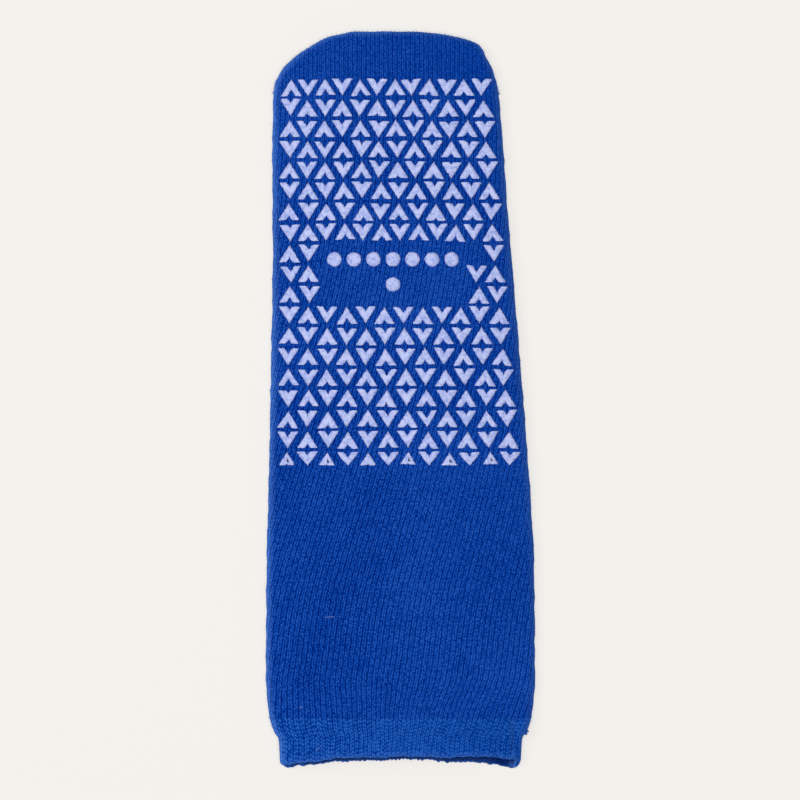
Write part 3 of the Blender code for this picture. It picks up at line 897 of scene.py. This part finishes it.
def makeFuzz(name, places, count, material):
    # short fibres standing off the knit, most of them on the side folds
    points, normals = places
    rng = np.random.default_rng(fuzzForm["seed"])
    level = np.abs(normals[:, 2])
    weight = np.where(level < fuzzForm["foldLevel"], 1.0, fuzzForm["onTop"])
    weight = weight * (normals[:, 2] > fuzzForm["underLevel"])
    chosen = rng.choice(len(points), count, p=weight / weight.sum())
    direction = normals[chosen] + fuzzForm["spread"] * rng.standard_normal((count, 3))
    direction /= np.linalg.norm(direction, axis=1)[:, None]
    bend = fuzzForm["bend"] * rng.uniform(-1.0, 1.0, (count, 3))
    length = fuzzForm["length"] * rng.uniform(*fuzzForm["lengthSpread"], count)
    base = points[chosen] - normals[chosen] * fuzzForm["root"]
    radius = np.full(count, fuzzForm["radius"])
    piece = hairMesh(name, base, direction, bend, length, radius, material)


# loose bits caught in the knit: place, direction in degrees from +X, length, sideways bend and thickness
lintForm = {
    "across": [-0.562, -0.695, -0.748, -0.741, -0.753, 0.985, 0.99, 0.985, 0.99, 0.985],
    "back": [0.2519, 0.3094, 0.2908, 0.2905, 0.2903, 0.3008, 0.3013, 0.3018, 0.3022, 0.3016],
    "angle": [2.0, 52.0, 20.0, 110.0, 200.0, 20.0, -10.0, -30.0, -50.0, 5.0],
    "length": [0.0072, 0.0036, 0.0006, 0.0006, 0.0006, 0.0011, 0.0013, 0.0013, 0.0010, 0.0014],
    "bend": [0.06, -0.14, 0.5, 0.5, 0.5, -0.3, 0.2, 0.2, 0.3, 0.1],
    "radius": [0.00012, 0.00016, 0.0002, 0.0002, 0.0002, 0.00042, 0.00045, 0.00045, 0.0004, 0.0004],
    "pale": 5,                 # how many of them are pale; the others have the knit's colour
    "rise": 0.05,
}


def makeLint(paleMaterial, tuftMaterial):
    # the pale bits are one piece, and those at the mouth's right end are a small tuft
    back = np.array(lintForm["back"])
    middle, half = outlineAt(back)
    x = middle + np.array(lintForm["across"]) * half
    radius = np.array(lintForm["radius"])
    angle = np.radians(lintForm["angle"])
    length = np.array(lintForm["length"])
    direction = np.stack([np.cos(angle), np.sin(angle), np.full(len(x), lintForm["rise"])], axis=-1)
    sideways = np.stack([-np.sin(angle), np.cos(angle), np.zeros(len(x))], axis=-1)
    bend = sideways * np.array(lintForm["bend"])[:, None]
    base = np.stack([x, tipY - back, skinHeight(x, back, 1.0) + radius], axis=-1)
    pale = np.arange(len(x)) < lintForm["pale"]
    for name, some, material in (("pale_lint", pale, paleMaterial), ("edge_tuft", ~pale, tuftMaterial)):
        hairs = [values[some] for values in (base, direction, bend, length, radius)]
        piece = hairMesh(name, *hairs, material)


def fill(tree, node, inputs):
    # each named input of a node gets a number, a colour, or a link from a socket
    for key, value in inputs.items():
        if isinstance(value, bpy.types.NodeSocket):
            tree.links.new(value, node.inputs[key])
        else:
            node.inputs[key].default_value = value


def nodeIn(tree, kind, inputs=None, **settings):
    node = tree.nodes.new(kind)
    for key, value in settings.items():
        setattr(node, key, value)
    fill(tree, node, inputs or {})
    return node


def maths(tree, operation, first, second=0.0, third=0.0, clamp=False):
    inputs = {0: first, 1: second, 2: third}
    return nodeIn(tree, "ShaderNodeMath", inputs, operation=operation, use_clamp=clamp).outputs[0]


def blendColours(tree, share, low, high):
    # low where the share is 0, high where it is 1
    return nodeIn(tree, "ShaderNodeMix", {0: share, 6: low, 7: high}, data_type="RGBA").outputs[2]


def noiseAt(tree, place, scale, detail, roughness=0.5):
    # soft noise between 0 and 1
    inputs = {"Vector": place, "Scale": scale, "Detail": detail, "Roughness": roughness}
    return nodeIn(tree, "ShaderNodeTexNoise", inputs).outputs["Fac"]


def chanceAt(tree, place):
    # one random number between 0 and 1 for each place
    node = nodeIn(tree, "ShaderNodeTexWhiteNoise", {"Vector": place}, noise_dimensions="3D")
    return node.outputs["Value"]


def bumpFrom(tree, height, distance, strength=1.0):
    inputs = {"Height": height, "Distance": distance, "Strength": strength}
    return nodeIn(tree, "ShaderNodeBump", inputs).outputs[0]


def newGroup(name, vectorName, numbers, outputs):
    # a node group with one vector input, number inputs with what they start at, and number outputs
    group = bpy.data.node_groups.new(name, "ShaderNodeTree")
    group.interface.new_socket(vectorName, in_out="INPUT", socket_type="NodeSocketVector")
    for socketName, value in numbers.items():
        socket = group.interface.new_socket(socketName, in_out="INPUT", socket_type="NodeSocketFloat")
        socket.default_value = value
    for socketName in outputs:
        group.interface.new_socket(socketName, in_out="OUTPUT", socket_type="NodeSocketFloat")
    return group, group.nodes.new("NodeGroupInput"), group.nodes.new("NodeGroupOutput")


stitchForm = {                 # scales are in wales across and courses along
    "swayScale": (0.9, 0.45, 1.0),
    "driftScale": (7.37, 0.12, 1.0),
    "driftGain": 3.0,
    "streakScale": (4.2, 1.5, 1.0),
    "streakGain": 2.2,
    "loopInGroove": 0.3,       # how much of a loop's height is left in the groove
}


def stitchGroup():
    # rows of stitches on wale and course numbers. Across a wale the height is a blend of one ridge and of
    # two legs side by side; along it the loops are waves that slant out from the middle, in rows that drift.
    numbers = {
        "Split": 0.6, "Slant": 0.8, "Groove": 1.0, "Loop": 0.35, "Drift": 0.8, "Uneven": 0.3,
        "Wander": 0.2, "Narrow": 1.0, "Shuffle": 0.0,
    }
    group, given, result = newGroup("knitStitches", "Knit", numbers, ["Height", "Light", "Streaks"])

    def wave(phase):
        angle = maths(group, "MULTIPLY", phase, 2 * math.pi)
        return maths(group, "MULTIPLY_ADD", maths(group, "COSINE", angle), 0.5, 0.5)

    def centred(value, gain):
        return maths(group, "MULTIPLY", maths(group, "SUBTRACT", value, 0.5), gain)

    def knitNoise(scale, detail, source=None):
        inputs = {0: source or given.outputs["Knit"], 1: scale}
        place = nodeIn(group, "ShaderNodeVectorMath", inputs, operation="MULTIPLY")
        return noiseAt(group, place.outputs[0], 1.0, detail)

    split = nodeIn(group, "ShaderNodeSeparateXYZ", {0: given.outputs["Knit"]})
    u, v = split.outputs[0], split.outputs[1]
    sway = centred(knitNoise(stitchForm["swayScale"], 1.0), 2.0)
    swayed = maths(group, "ADD", u, maths(group, "MULTIPLY", sway, given.outputs["Wander"]))
    fromMiddle = maths(group, "SUBTRACT", maths(group, "FRACT", swayed), 0.5)
    off = maths(group, "MULTIPLY", maths(group, "ABSOLUTE", fromMiddle), 2.0)
    legNumber = maths(group, "FLOOR", maths(group, "MULTIPLY", swayed, 2.0))
    leg = nodeIn(group, "ShaderNodeCombineXYZ", {0: legNumber, 1: v})
    drift = centred(knitNoise(stitchForm["driftScale"], 0.0, leg.outputs[0]), stitchForm["driftGain"])
    drift = maths(group, "MULTIPLY", drift, given.outputs["Drift"])
    shuffled = nodeIn(group, "ShaderNodeTexWhiteNoise", {"W": legNumber}, noise_dimensions="1D")
    drift = maths(group, "MULTIPLY_ADD", shuffled.outputs["Value"], given.outputs["Shuffle"], drift)
    phase = maths(group, "ADD", maths(group, "MULTIPLY_ADD", off, given.outputs["Slant"], v), drift)
    ridge = maths(group, "POWER", wave(maths(group, "MULTIPLY", off, 0.5)), given.outputs["Narrow"])
    legs = maths(group, "SUBTRACT", 1.0, wave(off))
    toLegs = maths(group, "SUBTRACT", legs, ridge)
    profile = maths(group, "MULTIPLY_ADD", toLegs, given.outputs["Split"], ridge)
    profile = maths(group, "SUBTRACT", profile, 0.5)
    profile = maths(group, "MULTIPLY_ADD", profile, given.outputs["Groove"], 0.5)
    shaded = maths(group, "MULTIPLY", given.outputs["Loop"], maths(group, "SUBTRACT", wave(phase), 0.5))
    inGroove = stitchForm["loopInGroove"]
    size = maths(group, "MULTIPLY_ADD", profile, 1 - inGroove, inGroove)
    height = maths(group, "MULTIPLY_ADD", shaded, size, profile)
    cell = nodeIn(group, "ShaderNodeCombineXYZ", {0: legNumber, 1: maths(group, "FLOOR", phase)})
    differ = centred(chanceAt(group, cell.outputs[0]), given.outputs["Uneven"])
    streaks = centred(knitNoise(stitchForm["streakScale"], 1.0), stitchForm["streakGain"])
    light = maths(group, "ADD", height, differ)
    fill(group, result, {"Height": height, "Light": light, "Streaks": streaks})
    return group


cloudForm = {
    "gain": 2.2,
    "Clouds": {"scale": 22.0, "detail": 3.0, "roughness": 0.55},
    "Fibres": {"scale": 1900.0, "detail": 2.0, "roughness": 0.6},
}


def cloudGroup():
    # slow light and dark areas at random, and a fine fibre speckle; its inputs are their scales
    names = ("Clouds", "Fibres")
    scales = {name: cloudForm[name]["scale"] for name in names}
    group, given, result = newGroup("clothClouds", "Place", scales, names)
    place = given.outputs["Place"]
    for name in names:
        form = cloudForm[name]
        noise = noiseAt(group, place, given.outputs[name], form["detail"], form["roughness"])
        spread = maths(group, "MULTIPLY", maths(group, "SUBTRACT", noise, 0.5), cloudForm["gain"])
        fill(group, result, {name: spread})
    return group


def newMaterial(name):
    material = bpy.data.materials.new(name)
    material.use_nodes = True
    return material, material.node_tree, material.node_tree.nodes["Principled BSDF"]


# colours: the grooves' painted shade, the crests' painted light, a painted sheen on the brightest places,
# and the pale colour of painted edge light
legLook = {
    "dark": (0.0, 0.0122, 0.165, 1.0), "light": (0.0005, 0.0640, 0.437, 1.0),
    "fuzzSheen": (0.110, 0.260, 0.660, 1.0), "paintedPale": (0.090, 0.268, 0.880, 1.0),
    "split": 0.62, "slant": 0.7, "groove": 1.0, "loop": 0.32, "drift": 0.9, "uneven": 0.35,
    "wander": 0.15, "narrow": 1.0, "shuffle": 0.0,
    "clouds": 0.28, "fibres": 0.45, "streaks": 1.10, "contrast": 0.97, "level": 0.035,
    "fuzzSheenShare": 0.16, "bump": 0.00018,
    "sheen": 0.08, "sheenTint": (0.20, 0.50, 1.0, 1.0),
}
cuffLook = {
    "dark": (0.0, 0.0165, 0.193, 1.0), "light": (0.0030, 0.0935, 0.490, 1.0),
    "fuzzSheen": (0.130, 0.280, 0.670, 1.0), "paintedPale": (0.090, 0.268, 0.880, 1.0),
    "split": 0.66, "slant": 0.3, "groove": 0.78, "loop": 0.80, "drift": 0.6, "uneven": 0.42,
    "wander": 0.10, "narrow": 1.0, "shuffle": 1.0,
    "clouds": 0.19, "fibres": 0.72, "streaks": 0.40, "contrast": 0.90, "level": 0.035,
    "fuzzSheenShare": 0.20, "bump": 0.00014,
    "sheen": 0.10, "sheenTint": (0.22, 0.50, 1.0, 1.0),
}
stitchInputs = ("split", "slant", "groove", "loop", "drift", "uneven", "wander", "narrow", "shuffle")
# what the leg and the cuff share
knitLook = {
    "fuzzSheenPower": 4.0,
    "paleByLight": 1.1,
    "paleLeast": 0.45,
    "fibreHeight": 0.25,
    "bumpStrength": 0.9,
    "roughness": 0.92,
    "sheenRoughness": 0.35,
}
# the knit looks calmer where it is stretched, over the toe and to the right: the contrast lost there, the
# length over which it goes, and where that starts, counted back to the origin in such lengths
calmForm = {
    "toe": {"lost": 0.22, "fade": 0.012, "shift": -9.8},
    "right": {"lost": 0.16, "fade": 0.05, "shift": 0.2},
}


def calmedContrast(tree, place, contrast):
    # each loss grows evenly over its length, from none at its start to all of it
    split = nodeIn(tree, "ShaderNodeSeparateXYZ", {0: place})
    for name, axis in (("toe", 1), ("right", 0)):
        form = calmForm[name]
        near = maths(tree, "MULTIPLY_ADD", split.outputs[axis], 1 / form["fade"], form["shift"], clamp=True)
        contrast = maths(tree, "MULTIPLY_ADD", near, -form["lost"], contrast)
    return contrast


def knitMaterial(name, look, stitches, clouds):
    # light places of the knit take the crest's colour as painted light, dark ones the groove's as painted
    # shade, the brightest a painted sheen, and places with painted edge light go paler
    material, tree, shader = newMaterial(name)
    knit = nodeIn(tree, "ShaderNodeUVMap", uv_map="knit").outputs[0]
    place = nodeIn(tree, "ShaderNodeTexCoord").outputs["Object"]
    fabric = nodeIn(tree, "ShaderNodeGroup", node_tree=stitches)
    fill(tree, fabric, {"Knit": knit})
    fill(tree, fabric, {key.capitalize(): look[key] for key in stitchInputs})
    cloth = nodeIn(tree, "ShaderNodeGroup", node_tree=clouds)
    fill(tree, cloth, {"Place": place})
    light = maths(tree, "MULTIPLY_ADD", cloth.outputs["Clouds"], look["clouds"], fabric.outputs["Light"])
    light = maths(tree, "MULTIPLY_ADD", fabric.outputs["Streaks"], look["streaks"], light)
    light = maths(tree, "MULTIPLY_ADD", cloth.outputs["Fibres"], look["fibres"], light)
    light = maths(tree, "SUBTRACT", light, 0.5)
    contrast = calmedContrast(tree, place, look["contrast"])
    light = maths(tree, "MULTIPLY_ADD", light, contrast, 0.5 + look["level"], clamp=True)
    colour = blendColours(tree, light, look["dark"], look["light"])
    # a painted sheen on the brightest stitches
    fuzzSheen = maths(tree, "POWER", light, knitLook["fuzzSheenPower"])
    colour = blendColours(tree, maths(tree, "MULTIPLY", fuzzSheen, look["fuzzSheenShare"]), colour, look["fuzzSheen"])
    # painted light from the mesh: sheen on the side folds, lighter on the left, and light and shade at the
    # mouth
    paintedLight = nodeIn(tree, "ShaderNodeAttribute", attribute_name="paintedLight").outputs["Fac"]
    byLight = maths(tree, "MULTIPLY_ADD", light, knitLook["paleByLight"], knitLook["paleLeast"])
    paintedLight = maths(tree, "MULTIPLY", paintedLight, byLight, clamp=True)
    height = maths(
        tree, "MULTIPLY_ADD", cloth.outputs["Fibres"], knitLook["fibreHeight"], fabric.outputs["Height"]
    )
    fill(tree, shader, {
        "Base Color": blendColours(tree, paintedLight, colour, look["paintedPale"]),
        "Normal": bumpFrom(tree, height, look["bump"], knitLook["bumpStrength"]),
        "Roughness": knitLook["roughness"],
        "Specular IOR Level": 0.0,
        "Sheen Weight": look["sheen"],
        "Sheen Roughness": knitLook["sheenRoughness"],
        "Sheen Tint": look["sheenTint"],
    })
    return material


# dark and light are painted shade of the sock's inside, seen in the mouth; the pale colour is painted light
# near the rim
liningShadeLook = {
    "dark": (0.0004, 0.0090, 0.095, 1.0),
    "light": (0.0015, 0.0290, 0.215, 1.0),
    "paintedPale": (0.045, 0.135, 0.480, 1.0),
    "loops": 900.0,
    "loopFall": 1.3,           # how fast a loop falls off from its middle
    "bump": 0.0006,
    "roughness": 0.95,
    "specular": 0.05,
}


def liningShadeMaterial():
    # terry loops on the inside: small round cells with dark gaps, dark overall as painted shade of the mouth
    material, tree, shader = newMaterial("terryLiningShade")
    place = nodeIn(tree, "ShaderNodeTexCoord").outputs["Object"]
    cells = nodeIn(tree, "ShaderNodeTexVoronoi", {"Vector": place, "Scale": liningShadeLook["loops"]})
    fall = maths(tree, "MULTIPLY", cells.outputs["Distance"], liningShadeLook["loopFall"])
    loop = maths(tree, "SUBTRACT", 1.0, fall, clamp=True)
    colour = blendColours(tree, loop, liningShadeLook["dark"], liningShadeLook["light"])
    paintedLight = nodeIn(tree, "ShaderNodeAttribute", attribute_name="paintedLight").outputs["Fac"]
    fill(tree, shader, {
        "Base Color": blendColours(tree, paintedLight, colour, liningShadeLook["paintedPale"]),
        "Normal": bumpFrom(tree, loop, liningShadeLook["bump"]),
        "Roughness": liningShadeLook["roughness"],
        "Specular IOR Level": liningShadeLook["specular"],
    })
    return material


printLook = {
    "paint": (0.530, 0.582, 0.920, 1.0),
    "thin": (0.290, 0.370, 0.770, 1.0),
    "pit": (0.120, 0.190, 0.560, 1.0),
    "knit": (0.0030, 0.0400, 0.300, 1.0),
    "patches": 620.0,          # where the paint is thin
    "patchGain": 3.6,
    "patchLevel": 0.33,
    "pits": 760.0,
    "pitFall": 2.6,
    "pitless": 0.62,           # share of the cells without a pit
    "pitShare": 0.75,
    "cornerStretch": 1.2,
    "edge": 0.045,             # how far in the paint starts, and how ragged and how sharp it ends
    "ragged": 0.85,
    "tears": 1050.0,
    "sharpness": 9.0,
    "patchHeight": 0.8,
    "bump": 0.00022,
    "bumpStrength": 0.8,
    "roughness": 0.62,
    "specular": 0.30,
}


def paintCover(tree, place):
    # how far a place of a mark is painted, from the stroke's coordinates. The feet have rounded corners:
    # a + b less the root of a squared + b squared, where a is the way to the edge and b to the foot.
    stroke = nodeIn(tree, "ShaderNodeUVMap", uv_map="stroke").outputs[0]
    split = nodeIn(tree, "ShaderNodeSeparateXYZ", {0: stroke})
    fromEdge = maths(tree, "SUBTRACT", 1.0, maths(tree, "ABSOLUTE", split.outputs[0]))
    fromFoot = maths(tree, "MULTIPLY", split.outputs[1], printLook["cornerStretch"])
    reach = maths(tree, "MULTIPLY_ADD", fromFoot, fromFoot, maths(tree, "MULTIPLY", fromEdge, fromEdge))
    inside = maths(tree, "SUBTRACT", maths(tree, "ADD", fromEdge, fromFoot), maths(tree, "SQRT", reach))
    tear = maths(tree, "SUBTRACT", noiseAt(tree, place, printLook["tears"], 1.0), 0.5)
    inside = maths(tree, "SUBTRACT", inside, printLook["edge"])
    inside = maths(tree, "ADD", inside, maths(tree, "MULTIPLY", tear, printLook["ragged"]))
    return maths(tree, "MULTIPLY_ADD", inside, printLook["sharpness"], 0.5, clamp=True)


def printMaterial():
    # rubber ink pressed over the knit: matt and pale, thinner in patches, with small pits
    material, tree, shader = newMaterial("gripRubber")
    place = nodeIn(tree, "ShaderNodeTexCoord").outputs["Object"]
    thin = noiseAt(tree, place, printLook["patches"], 3.0, 0.6)
    cells = nodeIn(tree, "ShaderNodeTexVoronoi", {"Vector": place, "Scale": printLook["pits"]})
    fall = maths(tree, "MULTIPLY", cells.outputs["Distance"], printLook["pitFall"])
    pit = maths(tree, "SUBTRACT", 1.0, fall, clamp=True)
    pitted = maths(tree, "GREATER_THAN", chanceAt(tree, cells.outputs["Position"]), printLook["pitless"])
    pit = maths(tree, "MULTIPLY", pit, pitted)
    patch = maths(tree, "SUBTRACT", thin, 0.5)
    gain, level = printLook["patchGain"], printLook["patchLevel"]
    patch = maths(tree, "MULTIPLY_ADD", patch, gain, level, clamp=True)
    colour = blendColours(tree, patch, printLook["paint"], printLook["thin"])
    inPit = maths(tree, "MULTIPLY", pit, printLook["pitShare"])
    colour = blendColours(tree, inPit, colour, printLook["pit"])
    height = maths(tree, "SUBTRACT", maths(tree, "MULTIPLY", thin, printLook["patchHeight"]), pit)
    fill(tree, shader, {
        "Base Color": blendColours(tree, paintCover(tree, place), printLook["knit"], colour),
        "Normal": bumpFrom(tree, height, printLook["bump"], printLook["bumpStrength"]),
        "Roughness": printLook["roughness"],
        "Specular IOR Level": printLook["specular"],
    })
    return material


hairLook = {
    "blue": (0.050, 0.180, 0.600, 1.0),
    "pale": (0.230, 0.340, 0.720, 1.0),
    "tuft": (0.012, 0.075, 0.400, 1.0),
    "roughness": 0.9,
    "specular": 0.1,
}


def hairMaterial(colourName):
    # one plain matt colour
    material, tree, shader = newMaterial(colourName + "Hair")
    fill(tree, shader, {
        "Base Color": hairLook[colourName],
        "Roughness": hairLook["roughness"],
        "Specular IOR Level": hairLook["specular"],
    })
    return material


threadLook = {
    "dark": (0.001, 0.020, 0.170, 1.0),
    "light": (0.012, 0.080, 0.420, 1.0),
    "fibres": 2600.0,
    "bump": 0.0001,
    "roughness": 0.85,
    "specular": 0.1,
}


def threadMaterial():
    # dark and light fibres, mixed by fine noise
    material, tree, shader = newMaterial("linkingThread")
    place = nodeIn(tree, "ShaderNodeTexCoord").outputs["Object"]
    fibre = noiseAt(tree, place, threadLook["fibres"], 2.0)
    fill(tree, shader, {
        "Base Color": blendColours(tree, fibre, threadLook["dark"], threadLook["light"]),
        "Normal": bumpFrom(tree, fibre, threadLook["bump"]),
        "Roughness": threadLook["roughness"],
        "Specular IOR Level": threadLook["specular"],
    })
    return material


stitches = stitchGroup()
clouds = cloudGroup()
legKnit = knitMaterial("legKnit", legLook, stitches, clouds)
cuffKnit = knitMaterial("cuffKnit", cuffLook, stitches, clouds)
terryLiningShade = liningShadeMaterial()
gripRubber = printMaterial()
linkingThread = threadMaterial()
blueHair, paleHair, tuftHair = [hairMaterial(name) for name in ("blue", "pale", "tuft")]
print("materials made")

tubePlaces = makeTube(legKnit, terryLiningShade)
print("tube made")
cuffPlaces = makeCuff(cuffKnit, terryLiningShade)
print("cuff made")
makePrint("grip_print_upper", 1.0, gripRubber)
makePrint("grip_print_sole", -1.0, gripRubber)
print("grip print made")
makeSeam(linkingThread)
print("toe seam made")
makeFuzz("knit_fuzz", tubePlaces, fuzzForm["tubeHairs"], blueHair)
makeFuzz("cuff_fuzz", cuffPlaces, fuzzForm["cuffHairs"], blueHair)
makeLint(paleHair, tuftHair)
print("fuzz made")


roomLook = {
    "floorSize": 9.0,
    "floorColour": (0.225, 0.219, 0.209, 1.0),
    "floorGlow": (0.682, 0.663, 0.632, 1.0),     # an evenly lit pale ground without hard shadows
    "skyColour": (1.0, 1.0, 1.0, 1.0),
    "skyStrength": 0.20,
    "keyPlace": (-0.75, 0.25, 1.45), "keySize": 0.9, "keyPower": 9.2,
    "overPlace": (0.10, -0.05, 2.10), "overSize": 1.3, "overPower": 25.0,
    "cameraHeight": 2.4, "viewWidth": 0.3452, "sensor": 36.0,
    "viewCentre": (-0.0002, -0.0003),
}


def makeFloor():
    # a level square grid at height 0, which glows so that it stays pale
    size = roomLook["floorSize"]
    side = np.linspace(-size, size, 9)
    x, y = np.meshgrid(side, side[::-1])
    index = np.arange(x.size).reshape(x.shape)
    floor = buildMesh("floor", np.stack([x, y, np.zeros_like(x)], axis=-1), [gridFaces(index)])
    material, tree, shader = newMaterial("paleFloor")
    fill(tree, shader, {
        "Base Color": roomLook["floorColour"],
        "Emission Color": roomLook["floorGlow"],
        "Emission Strength": 1.0,
        "Roughness": 1.0,
        "Specular IOR Level": 0.0,
    })
    floor.data.materials.append(material)


def makeLight(name, place, size, power):
    # a soft round lamp that points at the sock's middle
    data = bpy.data.lights.new(name, "AREA")
    data.shape = "DISK"
    data.size = size
    data.energy = power
    light = bpy.data.objects.new(name, data)
    light.location = place
    light.rotation_euler = (-light.location).to_track_quat("-Z", "Y").to_euler()
    bpy.context.scene.collection.objects.link(light)


def makeRoom():
    makeFloor()
    world = bpy.data.worlds.new("softRoom")
    world.use_nodes = True
    sky = {"Color": roomLook["skyColour"], "Strength": roomLook["skyStrength"]}
    fill(world.node_tree, world.node_tree.nodes["Background"], sky)
    bpy.context.scene.world = world
    makeLight("key", roomLook["keyPlace"], roomLook["keySize"], roomLook["keyPower"])
    makeLight("over", roomLook["overPlace"], roomLook["overSize"], roomLook["overPower"])
    camera = bpy.data.cameras.new("camera")
    camera.sensor_width = roomLook["sensor"]
    camera.lens = roomLook["sensor"] * roomLook["cameraHeight"] / roomLook["viewWidth"]
    view = bpy.data.objects.new("camera", camera)
    view.location = (*roomLook["viewCentre"], roomLook["cameraHeight"])
    bpy.context.scene.collection.objects.link(view)
    bpy.context.scene.camera = view
    bpy.context.scene.view_settings.view_transform = "Standard"


makeRoom()
print("room made")
